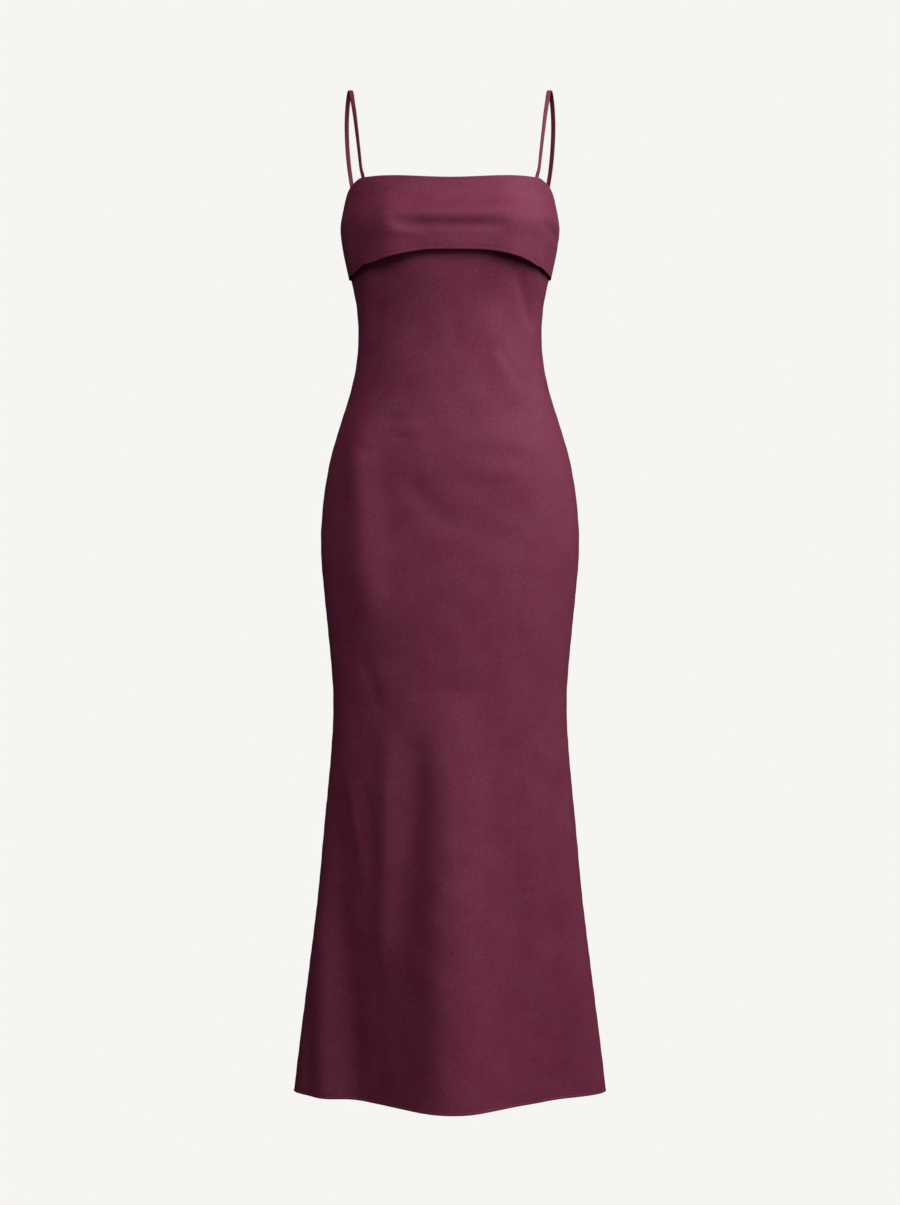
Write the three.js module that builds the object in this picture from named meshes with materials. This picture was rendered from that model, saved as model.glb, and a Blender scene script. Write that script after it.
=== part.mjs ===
// A bias-cut satin slip dress, filled out as it is worn, with a hollow inside.
// Millimetres. +Z is up, the front faces -Y and +X is the wearer's left.
// The origin lies midway between the tops of the two straps, where the shoulders carry the dress.

import * as THREE from 'three';

// Cloth and seams

const PANEL_WALL = 1.3;
const SEAM_GAP = 0.3;
const BAND_WALL = 1.6;
const BAND_CLEARANCE = 0.72;
const BAND_ROLL_CENTRE = 0.3;
const BAND_PUFF = 1.5;
const BAND_STAND_OFF = 8;
const BAND_CORNER_X = 81;
const BAND_CORNER_HALF = 25;
const BAND_CORNER_RISE = 1.3;
const STRAP_WIDTH = 6.2;
const STRAP_THICKNESS = 2;
const STRAP_TAIL = 14;
const STRAP_CLEARANCE = 1.2;

// Heights of the edges, below the tops of the straps

const HEM_Z = -1366;
const ROWS_LEVEL_BELOW_Z = -300;
const NECK_CORNER_Z = -132;
const NECK_DIP = 6;
const UNDERARM_Z = -190;
const BACK_EDGE_Z = -192;
const BACK_EDGE_DIP = 7;
const BAND_CENTRE_Z = -234;
const BAND_SEAM_DROP = 26.5;
const BAND_LEVEL_X = 12;
const BAND_LEVEL_HALF = 30;

// Where the edges turn, as angles from the centre line to a side seam at 90 degrees

const SEAM_ANGLE = Math.PI / 2;
const NECK_CORNER_ANGLE = THREE.MathUtils.degToRad(56);
const BACK_STRAP_ANGLE = THREE.MathUtils.degToRad(49);

// Mesh sizes

const COLUMNS = 36;
const SKIRT_ROWS = 28;
const BODICE_ROWS = 10;
const BAND_ROWS = 8;
const BAND_ROLL_ROWS = 2;
const STRAP_STEPS = 36;

const FRONT = -1;
const BACK = 1;

// Level sections from neck to hem. half is from the centre to a side seam, front and back are the
// depths at the centre line, and square is 2 for an ellipse and more for fuller corners.

const SECTIONS = [
  { z: -110, half: 135, front: 78, back: 72, square: 2.25 },
  { z: -135, half: 140, front: 91.3, back: 78, square: 2.25 },
  { z: -160, half: 142.5, front: 95.5, back: 84, square: 2.25 },
  { z: -190, half: 146.8, front: 112, back: 88, square: 2.25 },
  { z: -218, half: 143.8, front: 106.8, back: 89, square: 2.2 },
  { z: -260, half: 134.8, front: 100.3, back: 86, square: 2.15 },
  { z: -300, half: 127.2, front: 93.2, back: 79, square: 2.05 },
  { z: -335, half: 125.2, front: 90, back: 75, square: 2.03 },
  { z: -370, half: 127.2, front: 89, back: 79, square: 2.03 },
  { z: -410, half: 135, front: 89.6, back: 90, square: 2.03 },
  { z: -450, half: 147.2, front: 92.4, back: 103, square: 2.03 },
  { z: -500, half: 162.1, front: 97.8, back: 115, square: 2.03 },
  { z: -550, half: 171.4, front: 97.4, back: 121, square: 2.03 },
  { z: -600, half: 175.9, front: 97.2, back: 122, square: 2.03 },
  { z: -640, half: 175.7, front: 98.8, back: 119, square: 2.03 },
  { z: -700, half: 170.4, front: 99.6, back: 112, square: 2.03 },
  { z: -760, half: 164.4, front: 98.9, back: 105, square: 2.03 },
  { z: -815, half: 160, front: 98, back: 100, square: 2.03 },
  { z: -860, half: 159.7, front: 96.5, back: 97, square: 2.03 },
  { z: -915, half: 163.2, front: 93.9, back: 95, square: 2.03 },
  { z: -1000, half: 171.3, front: 90.2, back: 92, square: 2.03 },
  { z: -1100, half: 180.5, front: 85.9, back: 89, square: 2.03 },
  { z: -1200, half: 192.6, front: 80.5, back: 85, square: 2.03 },
  { z: -1300, half: 205.3, front: 74.2, back: 81, square: 2.03 },
  { z: -1366, half: 213.1, front: 70.7, back: 78, square: 2.06 },
];

// The broad fall of cloth down the middle of the skirt. It starts flat at topZ and stands out by
// rise at the hem, where it reaches hemHalf to each side of its ridge.

const FALLS = {
  [FRONT]: { topZ: -818, topX: 1, hemX: 3, topHalf: 47, hemHalf: 86, rise: 83, blunt: 2.2 },
  [BACK]: { topZ: -760, topX: -6, hemX: -14, topHalf: 50, hemHalf: 82, rise: 56, blunt: 2.4 },
};

// Soft folds. Each runs from x0, z0 to x1, z1 and may bow sideways between them; its half width
// and its rise go from the first value to the second. A negative rise is a trough. A fold that
// runs out over the hem ends below it.

const FOLDS = {
  [FRONT]: [
    { x0: -38, z0: -819, x1: -54, z1: -1518, bow: -3, half0: 15, half1: 33, rise0: -9.9, rise1: -3.6 },
    { x0: -80, z0: -841, x1: -90, z1: -1237, bow: 0, half0: 17, half1: 15, rise0: 8.3, rise1: 5.3 },
    { x0: -160, z0: -867, x1: -111, z1: -1446, bow: -12, half0: 21, half1: 27, rise0: -6.7, rise1: -12 },
    { x0: -178, z0: -1038, x1: -156, z1: -1500, bow: -5, half0: 17, half1: 23, rise0: 4.6, rise1: 11 },
    { x0: 56, z0: -873, x1: 60, z1: -1491, bow: 0, half0: 18, half1: 22, rise0: -6, rise1: -2.9 },
    { x0: 107, z0: -875, x1: 112, z1: -1488, bow: -1, half0: 21, half1: 22, rise0: 4.4, rise1: 4.9 },
    { x0: 152, z0: -901, x1: 125, z1: -1198, bow: 4, half0: 10, half1: 11, rise0: -4.3, rise1: -2.2 },
    { x0: 153, z0: -952, x1: 154, z1: -1141, bow: -1, half0: 13, half1: 15, rise0: 2.5, rise1: 2.3 },
    { x0: -123, z0: -420, x1: -103, z1: -781, bow: -4, half0: 20, half1: 27, rise0: 10, rise1: 10 },
    { x0: -62, z0: -523, x1: 12, z1: -609, bow: -7, half0: 16, half1: 17, rise0: -2.5, rise1: -1.7 },
    { x0: 46, z0: -294, x1: 95, z1: -443, bow: -2, half0: 17, half1: 18, rise0: 1.6, rise1: 3 },
    { x0: 88, z0: -246, x1: 118, z1: -347, bow: -1, half0: 8, half1: 8, rise0: -3.7, rise1: -3.6 },
    { x0: -97, z0: -223, x1: -122, z1: -330, bow: 0, half0: 8, half1: 8, rise0: 3, rise1: 3 },
  ],
  [BACK]: [
    { x0: -62, z0: -800, x1: -92, z1: -1510, bow: -5, half0: 18, half1: 28, rise0: -6, rise1: -7 },
    { x0: 58, z0: -850, x1: 84, z1: -1510, bow: 6, half0: 18, half1: 26, rise0: -5, rise1: -8 },
    { x0: -128, z0: -930, x1: -142, z1: -1500, bow: 0, half0: 20, half1: 26, rise0: 4, rise1: 8 },
    { x0: 126, z0: -960, x1: 148, z1: -1500, bow: 0, half0: 22, half1: 24, rise0: 3, rise1: 7 },
    { x0: 20, z0: -880, x1: 34, z1: -1260, bow: 3, half0: 14, half1: 16, rise0: 4, rise1: 3 },
    { x0: -14, z0: -900, x1: -26, z1: -1500, bow: 0, half0: 13, half1: 20, rise0: -4, rise1: -3 },
    { x0: -92, z0: -388, x1: -34, z1: -436, bow: -5, half0: 11, half1: 12, rise0: -3, rise1: -3 },
    { x0: 96, z0: -380, x1: 30, z1: -444, bow: 6, half0: 11, half1: 12, rise0: -3, rise1: -3 },
    { x0: -74, z0: -338, x1: 66, z1: -352, bow: -5, half0: 10, half1: 10, rise0: -3, rise1: -3 },
    { x0: -52, z0: -300, x1: 70, z1: -294, bow: 4, half0: 12, half1: 12, rise0: 2, rise1: 2 },
  ],
};

// Soft cross folds in the hanging band, in the same columns.

const BAND_FOLDS = [
  { x0: -82, z0: -195, x1: 88, z1: -197, bow: -7, half0: 9, half1: 9, rise0: -5.4, rise1: -4.9 },
  { x0: -94, z0: -206, x1: 57, z1: -211, bow: 0, half0: 10, half1: 9, rise0: 1.8, rise1: 0.4 },
  { x0: 112, z0: -191, x1: 147, z1: -221, bow: 5, half0: 6, half1: 6, rise0: -3, rise1: -3.3 },
  { x0: 118, z0: -177, x1: 146, z1: -203, bow: 4, half0: 5, half1: 5, rise0: 3.2, rise1: 3.2 },
];

const FOLD_END = 0.3;
const SEAM_STILL_POWER = 14;

// Centre line of a strap between its two tails, from the front over the shoulder to the back.
// x is the distance from the middle of the dress, and turn is how far, in degrees, the flat of
// the strap has turned from facing straight ahead.

const STRAP_ROUTE = [
  { x: 119.6, y: -46.6, z: -117, turn: -55 },
  { x: 122.4, y: -41.5, z: -93, turn: -52 },
  { x: 125.6, y: -35.5, z: -66, turn: -46 },
  { x: 129, y: -27.5, z: -39, turn: -36 },
  { x: 132, y: -19.5, z: -20, turn: -22 },
  { x: 134.4, y: -9, z: -5.5, turn: -8 },
  { x: 136.6, y: 2, z: -1, turn: 0 },
  { x: 139, y: 15, z: -6, turn: 4 },
  { x: 141.4, y: 27, z: -20, turn: 10 },
  { x: 142.8, y: 37, z: -42, turn: 15 },
  { x: 142.2, y: 46, z: -70, turn: 20 },
  { x: 139.6, y: 53.5, z: -100, turn: 24 },
  { x: 134.2, y: 58.5, z: -132, turn: 28 },
  { x: 125.2, y: 61.4, z: -166, turn: 32 },
];

const FRONT_TAIL_TURN = -45;
const BACK_TAIL_TURN = 34;

// Colours

const SATIN = 0x66293f;
const BAND_SATIN = 0x6b2c42;
const STRAP_SATIN = 0x5a2337;

// Reads one column of the sections at a height, along a smooth curve through the rows.
function sectionValue(column, z) {
  const last = SECTIONS.length - 1;
  let row = 0;
  while (row < last - 1 && z < SECTIONS[row + 1].z) {
    row += 1;
  }
  const above = SECTIONS[row];
  const below = SECTIONS[row + 1];
  const before = SECTIONS[Math.max(row - 1, 0)];
  const after = SECTIONS[Math.min(row + 2, last)];
  const span = below.z - above.z;
  const slopeAbove = (below[column] - before[column]) / (below.z - before.z);
  const slopeBelow = (after[column] - above[column]) / (after.z - above.z);
  const t = (z - above.z) / span;
  const t2 = t * t;
  const t3 = t2 * t;
  return (2 * t3 - 3 * t2 + 1) * above[column] + (t3 - 2 * t2 + t) * span * slopeAbove
    + (3 * t2 - 2 * t3) * below[column] + (t3 - t2) * span * slopeBelow;
}

// A point of the plain section curve, before any fold.
function sectionPoint(side, angle, z) {
  const square = sectionValue('square', z);
  const depth = sectionValue(side === FRONT ? 'front' : 'back', z);
  const across = Math.sin(angle);
  const deep = Math.cos(angle);
  const reach = (Math.abs(across) ** square + Math.abs(deep) ** square) ** (-1 / square);
  const x = sectionValue('half', z) * reach * across;
  return new THREE.Vector3(x, side * depth * reach * deep, z);
}

// The height of one fold at a place on its panel.
function foldRise(fold, x, z) {
  const runX = fold.x1 - fold.x0;
  const runZ = fold.z1 - fold.z0;
  const length = Math.hypot(runX, runZ);
  const along = ((x - fold.x0) * runX + (z - fold.z0) * runZ) / (length * length);
  if (along <= 0 || along >= 1) {
    return 0;
  }
  const aside = ((x - fold.x0) * runZ - (z - fold.z0) * runX) / length;
  const bowed = aside + fold.bow * 4 * along * (1 - along);
  const half = THREE.MathUtils.lerp(fold.half0, fold.half1, along);
  const rise = THREE.MathUtils.lerp(fold.rise0, fold.rise1, along);
  const start = THREE.MathUtils.smoothstep(along, 0, FOLD_END);
  const end = THREE.MathUtils.smoothstep(1 - along, 0, FOLD_END);
  return rise * start * end * Math.exp(-((bowed / half) ** 2));
}

function foldsRise(folds, x, z) {
  return folds.reduce((sum, fold) => sum + foldRise(fold, x, z), 0);
}

// The height of the broad fall down the middle of the skirt.
function fallRise(fall, x, z) {
  const down = (fall.topZ - z) / (fall.topZ - HEM_Z);
  if (down <= 0) {
    return 0;
  }
  const ridge = THREE.MathUtils.lerp(fall.topX, fall.hemX, down);
  const half = THREE.MathUtils.lerp(fall.topHalf, fall.hemHalf, down);
  return fall.rise * down * Math.exp(-(Math.abs((x - ridge) / half) ** fall.blunt));
}

// A point of a panel's outer face: its section, moved out level by the folds, which die away at
// the side seams.
function facePoint(side, angle, z) {
  const step = 0.001;
  const point = sectionPoint(side, angle, z);
  const before = sectionPoint(side, angle - step, z);
  const after = sectionPoint(side, angle + step, z);
  const tangent = after.sub(before).normalize();
  const still = 1 - Math.abs(Math.sin(angle)) ** SEAM_STILL_POWER;
  const folds = foldsRise(FOLDS[side], point.x, z) + fallRise(FALLS[side], point.x, z);
  const out = folds * still;
  point.x -= side * tangent.y * out;
  point.y += side * tangent.x * out;
  return point;
}

// The outward direction of a panel's face. At a side seam it points straight out sideways, so
// that the cut ends of the two panels face each other.
function faceNormal(side, angle, z) {
  const turn = 0.004;
  const drop = 1;
  const across = facePoint(side, angle + turn, z).sub(facePoint(side, angle - turn, z));
  const up = facePoint(side, angle, z + drop).sub(facePoint(side, angle, z - drop));
  const normal = across.cross(up).multiplyScalar(-side);
  if (Math.abs(angle) > SEAM_ANGLE - turn) {
    normal.y = 0;
  }
  return normal.normalize();
}

// A point that lies a given way out from a panel's face.
function offFace(side, angle, z, out) {
  const point = facePoint(side, angle, z);
  point.addScaledVector(faceNormal(side, angle, z), out);
  point.y += side * SEAM_GAP / 2;
  return point;
}

// The top edge of the front: a shallow dip between the straps, then down the armhole.
function frontEdge(angle) {
  const beyond = (Math.abs(angle) - NECK_CORNER_ANGLE) / (SEAM_ANGLE - NECK_CORNER_ANGLE);
  if (beyond <= 0) {
    const inwards = Math.cos(SEAM_ANGLE * angle / NECK_CORNER_ANGLE);
    return NECK_CORNER_Z - NECK_DIP * inwards ** 3;
  }
  const drop = NECK_CORNER_Z - UNDERARM_Z;
  return NECK_CORNER_Z - drop * (0.42 * beyond + 0.58 * beyond ** 3);
}

// The top edge of the back: nearly straight across at the height of the underarm.
function backEdge(angle) {
  const dip = Math.cos(angle) ** 2 * BACK_EDGE_DIP;
  const rise = Math.sin(angle) ** 8 * (UNDERARM_Z - BACK_EDGE_Z);
  return BACK_EDGE_Z - dip + rise;
}

// Joins two grids of points, an outer and an inner face, into one closed wall.
function wallGeometry(columns, rows, outerPoint, innerPoint) {
  const positions = [];
  for (const place of [outerPoint, innerPoint]) {
    for (let j = 0; j <= rows; j += 1) {
      for (let i = 0; i <= columns; i += 1) {
        positions.push(...place(i, j).toArray());
      }
    }
  }
  const outer = (i, j) => j * (columns + 1) + i;
  const inner = (i, j) => (rows + 1) * (columns + 1) + outer(i, j);
  const triangles = [];
  const quad = (a, b, c, d) => triangles.push(a, b, c, a, c, d);
  for (let j = 0; j < rows; j += 1) {
    for (let i = 0; i < columns; i += 1) {
      quad(outer(i, j), outer(i + 1, j), outer(i + 1, j + 1), outer(i, j + 1));
      quad(inner(i, j), inner(i, j + 1), inner(i + 1, j + 1), inner(i + 1, j));
    }
    quad(outer(0, j), outer(0, j + 1), inner(0, j + 1), inner(0, j));
    quad(outer(columns, j + 1), outer(columns, j), inner(columns, j), inner(columns, j + 1));
  }
  for (let i = 0; i < columns; i += 1) {
    quad(outer(i + 1, 0), outer(i, 0), inner(i, 0), inner(i + 1, 0));
    quad(outer(i, rows), outer(i + 1, rows), inner(i + 1, rows), inner(i, rows));
  }
  const geometry = new THREE.BufferGeometry();
  geometry.setAttribute('position', new THREE.Float32BufferAttribute(positions, 3));
  geometry.setIndex(triangles);
  geometry.computeVertexNormals();
  return geometry;
}

// Columns run from one side seam to the other, so that the face points outwards on both sides.
function columnAngle(side, i) {
  return side * (SEAM_ANGLE - Math.PI * i / COLUMNS);
}

// Rows are level in the skirt and follow the top edge in the bodice.
function rowHeight(j, edgeZ) {
  if (j <= SKIRT_ROWS) {
    return THREE.MathUtils.lerp(HEM_Z, ROWS_LEVEL_BELOW_Z, j / SKIRT_ROWS);
  }
  return THREE.MathUtils.lerp(ROWS_LEVEL_BELOW_Z, edgeZ, (j - SKIRT_ROWS) / BODICE_ROWS);
}

function panelGeometry(side, edge) {
  const place = (out) => (i, j) => {
    const angle = columnAngle(side, i);
    return offFace(side, angle, rowHeight(j, edge(angle)), out);
  };
  return wallGeometry(COLUMNS, SKIRT_ROWS + BODICE_ROWS, place(0), place(-PANEL_WALL));
}

// The free lower edge of the band: level near the middle, then curving down to the side seams.
function bandEdge(angle) {
  const { x } = sectionPoint(FRONT, angle, BAND_CENTRE_Z);
  const seamX = sectionValue('half', BAND_CENTRE_Z);
  const seamWay = seamX - Math.sign(x) * BAND_LEVEL_X - BAND_LEVEL_HALF;
  const beyond = Math.max(0, (Math.abs(x - BAND_LEVEL_X) - BAND_LEVEL_HALF) / seamWay);
  return BAND_CENTRE_Z - BAND_SEAM_DROP * beyond ** 1.75;
}

// How far the band hangs clear of the front, at a share of the way down it. It hangs flatter than
// the bust, so it stands further off beside the middle.
function bandStandOff(angle, down, x, z) {
  const corner = Math.exp(-(((Math.abs(x) - BAND_CORNER_X) / BAND_CORNER_HALF) ** 2));
  const middle = Math.cos(angle) ** 0.9 * (1 + BAND_CORNER_RISE * corner);
  const puff = BAND_PUFF * Math.sin(Math.PI * down) ** 0.8;
  const hang = BAND_STAND_OFF * down ** 1.4;
  const folds = foldsRise(BAND_FOLDS, x, z) * Math.sin(Math.PI * Math.min(1, down));
  return middle * Math.max(0, puff + hang + folds);
}

// The band folds over the neckline and the armhole edge and hangs free to its lower edge. Rows
// run from that edge up, round the roll and in over the top of the front panel.
function bandGeometry() {
  const inwardRow = BAND_ROWS + BAND_ROLL_ROWS + 1;
  const innerRadius = BAND_CLEARANCE + BAND_ROLL_CENTRE;
  const place = (wall) => (i, j) => {
    const angle = columnAngle(FRONT, i);
    const edgeZ = frontEdge(angle);
    const rollZ = edgeZ - BAND_ROLL_CENTRE;
    if (j <= BAND_ROWS) {
      const down = 1 - j / BAND_ROWS;
      const z = THREE.MathUtils.lerp(rollZ, bandEdge(angle), down);
      const x = sectionPoint(FRONT, angle, z).x;
      return offFace(FRONT, angle, z, BAND_CLEARANCE + wall + bandStandOff(angle, down, x, z));
    }
    const radius = innerRadius + wall;
    if (j < inwardRow) {
      const roll = Math.PI / 2 * (j - BAND_ROWS) / BAND_ROLL_ROWS;
      const out = radius * Math.cos(roll) - BAND_ROLL_CENTRE;
      return offFace(FRONT, angle, rollZ + radius * Math.sin(roll), out);
    }
    return offFace(FRONT, angle, rollZ + radius, -PANEL_WALL);
  };
  return wallGeometry(COLUMNS, inwardRow, place(BAND_WALL), place(0));
}

// The tail of a strap, laid flat on the inner face of its panel.
function strapTail(side, angle, lowZ, highZ, turn) {
  const inwards = -(PANEL_WALL + STRAP_CLEARANCE + STRAP_THICKNESS / 2);
  return [lowZ, highZ].map((z) => {
    const place = offFace(side, angle, z, inwards);
    return { x: Math.abs(place.x), y: place.y, z, turn };
  });
}

function strapCentreLine() {
  const frontTop = NECK_CORNER_Z + BAND_WALL + 2;
  const backTop = BACK_EDGE_Z + 1;
  const front = strapTail(FRONT, NECK_CORNER_ANGLE, frontTop - STRAP_TAIL, frontTop, FRONT_TAIL_TURN);
  const back = strapTail(BACK, BACK_STRAP_ANGLE, backTop, backTop - STRAP_TAIL, BACK_TAIL_TURN);
  return [...front, ...STRAP_ROUTE, ...back];
}

// Eight corners of a flat strap with rounded edges, as shares of its half width and thickness.
const STRAP_SECTION = [
  { wide: 1, thick: 0.45 },
  { wide: 0.78, thick: 1 },
  { wide: -0.78, thick: 1 },
  { wide: -1, thick: 0.45 },
  { wide: -1, thick: -0.45 },
  { wide: -0.78, thick: -1 },
  { wide: 0.78, thick: -1 },
  { wide: 1, thick: -0.45 },
];

// Sweeps the flat section along the centre line, for the strap on the +X or the -X side.
function strapGeometry(hand) {
  const rows = strapCentreLine();
  const points = rows.map((row) => new THREE.Vector3(hand * row.x, row.y, row.z));
  const line = new THREE.CatmullRomCurve3(points, false, 'centripetal');
  const corners = STRAP_SECTION.length;
  const positions = [];
  for (let step = 0; step <= STRAP_STEPS; step += 1) {
    const t = step / STRAP_STEPS;
    const row = Math.min(Math.floor(t * (rows.length - 1)), rows.length - 2);
    const share = t * (rows.length - 1) - row;
    const degrees = THREE.MathUtils.lerp(rows[row].turn, rows[row + 1].turn, share);
    const turn = THREE.MathUtils.degToRad(degrees);
    const tangent = line.getTangent(t);
    const width = new THREE.Vector3(-hand * Math.cos(turn), Math.sin(turn), 0);
    width.addScaledVector(tangent, -width.dot(tangent)).normalize();
    const thickness = tangent.clone().cross(width);
    for (const corner of STRAP_SECTION) {
      const point = line.getPoint(t);
      point.addScaledVector(width, corner.wide * STRAP_WIDTH / 2);
      point.addScaledVector(thickness, corner.thick * STRAP_THICKNESS / 2);
      positions.push(...point.toArray());
    }
  }
  const triangles = [];
  for (let step = 0; step < STRAP_STEPS; step += 1) {
    for (let corner = 0; corner < corners; corner += 1) {
      const a = step * corners + corner;
      const b = step * corners + (corner + 1) % corners;
      triangles.push(a, b, b + corners, a, b + corners, a + corners);
    }
  }
  const end = STRAP_STEPS * corners;
  for (let corner = 1; corner < corners - 1; corner += 1) {
    triangles.push(0, corner + 1, corner);
    triangles.push(end, end + corner, end + corner + 1);
  }
  const geometry = new THREE.BufferGeometry();
  geometry.setAttribute('position', new THREE.Float32BufferAttribute(positions, 3));
  geometry.setIndex(triangles);
  geometry.computeVertexNormals();
  return geometry;
}

function clothPiece(name, geometry, color) {
  const material = new THREE.MeshStandardMaterial({ color, roughness: 0.55, metalness: 0 });
  const piece = new THREE.Mesh(geometry, material);
  piece.name = name;
  return piece;
}

const dress = new THREE.Group();
dress.name = 'slip_dress';
dress.add(clothPiece('front_panel', panelGeometry(FRONT, frontEdge), SATIN));
dress.add(clothPiece('back_panel', panelGeometry(BACK, backEdge), SATIN));
dress.add(clothPiece('bust_band', bandGeometry(), BAND_SATIN));
dress.add(clothPiece('strap_left', strapGeometry(1), STRAP_SATIN));
dress.add(clothPiece('strap_right', strapGeometry(-1), STRAP_SATIN));

export default dress;
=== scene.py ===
import math
from collections import namedtuple

import bpy
import numpy as np
from bpy.props import FloatProperty, FloatVectorProperty, IntProperty, PointerProperty
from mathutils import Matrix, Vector


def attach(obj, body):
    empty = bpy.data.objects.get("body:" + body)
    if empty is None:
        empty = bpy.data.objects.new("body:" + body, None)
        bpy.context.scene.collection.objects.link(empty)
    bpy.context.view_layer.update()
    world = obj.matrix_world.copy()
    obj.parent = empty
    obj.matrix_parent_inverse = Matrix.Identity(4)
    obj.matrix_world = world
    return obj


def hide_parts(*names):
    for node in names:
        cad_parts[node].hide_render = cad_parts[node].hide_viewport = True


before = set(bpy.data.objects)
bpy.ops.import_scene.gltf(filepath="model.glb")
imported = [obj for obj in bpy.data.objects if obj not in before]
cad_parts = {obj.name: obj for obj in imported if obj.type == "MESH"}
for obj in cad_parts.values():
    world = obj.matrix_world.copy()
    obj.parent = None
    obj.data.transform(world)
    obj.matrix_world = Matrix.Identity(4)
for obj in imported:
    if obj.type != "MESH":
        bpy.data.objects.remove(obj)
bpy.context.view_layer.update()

bl_info = {
    "name": "Satin slip dress",
    "version": (1, 0, 0),
    "blender": (4, 5, 0),
    "location": "View3D > Sidebar > Slip Dress",
    "description": "Makes a bias-cut satin slip dress with a fold-over bust band, as it is worn",
    "category": "Object",
}

BODY = "root"
MM = 0.001
OUT_WAY = {"front": -1, "back": 1}

# The tables below are in millimetres. The front faces -Y, and heights count down from the tops
# of the straps.

# Level sections of the dress: half is from the centre to a side seam, front and back are the
# depths at the centre line, and square is 2 for an ellipse and more for fuller corners.

Section = namedtuple("Section", "z half front back square")
SECTIONS = (
    Section(-110, 135, 78, 72, 2.25),
    Section(-135, 140, 91.3, 78, 2.25),
    Section(-160, 142.5, 95.5, 84, 2.25),
    Section(-190, 146.8, 112, 88, 2.25),
    Section(-218, 143.8, 106.8, 89, 2.2),
    Section(-260, 134.8, 100.3, 86, 2.15),
    Section(-300, 127.2, 93.2, 79, 2.05),
    Section(-335, 125.2, 90, 75, 2.03),
    Section(-370, 127.2, 89, 79, 2.03),
    Section(-410, 135, 89.6, 90, 2.03),
    Section(-450, 147.2, 92.4, 103, 2.03),
    Section(-500, 162.1, 97.8, 115, 2.03),
    Section(-550, 171.4, 97.4, 121, 2.03),
    Section(-600, 175.9, 97.2, 122, 2.03),
    Section(-640, 175.7, 98.8, 119, 2.03),
    Section(-700, 170.4, 99.6, 112, 2.03),
    Section(-760, 164.4, 98.9, 105, 2.03),
    Section(-815, 160, 98, 100, 2.03),
    Section(-860, 159.7, 96.5, 97, 2.03),
    Section(-915, 163.2, 93.9, 95, 2.03),
    Section(-1000, 171.3, 90.2, 92, 2.03),
    Section(-1100, 180.5, 85.9, 89, 2.03),
    Section(-1200, 192.6, 80.5, 85, 2.03),
    Section(-1300, 205.3, 74.2, 81, 2.03),
    Section(-1366, 213.1, 70.7, 78, 2.06),
)

# The broad fall of cloth down the middle of the skirt, from flat at top_z to rise at the hem.

Fall = namedtuple("Fall", "top_z top_x hem_x top_half hem_half rise blunt")
FALLS = {
    "front": Fall(-818, 1, 3, 47, 86, 83, 2.2),
    "back": Fall(-760, -6, -14, 50, 82, 56, 2.4),
}

# Soft folds. Each runs from x0, z0 to x1, z1 and may bow sideways between them. Its half width
# and its rise go from the first value to the second, and a negative rise is a trough.

Fold = namedtuple("Fold", "x0 z0 x1 z1 bow half0 half1 rise0 rise1")
MAIN_FOLDS = {
    "front": (
        Fold(-38, -819, -54, -1518, -3, 15, 33, -9.9, -3.6),
        Fold(-80, -841, -90, -1237, 0, 17, 15, 8.3, 5.3),
        Fold(-160, -867, -111, -1446, -12, 21, 27, -6.7, -12),
        Fold(-178, -1038, -156, -1500, -5, 17, 23, 4.6, 11),
        Fold(56, -873, 60, -1491, 0, 18, 22, -6, -2.9),
        Fold(107, -875, 112, -1488, -1, 21, 22, 4.4, 4.9),
        Fold(152, -901, 125, -1198, 4, 10, 11, -4.3, -2.2),
        Fold(153, -952, 154, -1141, -1, 13, 15, 2.5, 2.3),
        Fold(-123, -420, -103, -781, -4, 20, 27, 10, 10),
        Fold(-62, -523, 12, -609, -7, 16, 17, -2.5, -1.7),
        Fold(46, -294, 95, -443, -2, 17, 18, 1.6, 3),
        Fold(88, -246, 118, -347, -1, 8, 8, -3.7, -3.6),
        Fold(-97, -223, -122, -330, 0, 8, 8, 3, 3),
    ),
    "back": (
        Fold(-62, -800, -92, -1510, -5, 18, 28, -6, -7),
        Fold(58, -850, 84, -1510, 6, 18, 26, -5, -8),
        Fold(-128, -930, -142, -1500, 0, 20, 26, 4, 8),
        Fold(126, -960, 148, -1500, 0, 22, 24, 3, 7),
        Fold(20, -880, 34, -1260, 3, 14, 16, 4, 3),
        Fold(-14, -900, -26, -1500, 0, 13, 20, -4, -3),
        Fold(-92, -388, -34, -436, -5, 11, 12, -3, -3),
        Fold(96, -380, 30, -444, 6, 11, 12, -3, -3),
        Fold(-74, -338, 66, -352, -5, 10, 10, -3, -3),
        Fold(-52, -300, 70, -294, 4, 12, 12, 2, 2),
    ),
}

# Small creases that only the cloth shows.

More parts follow.
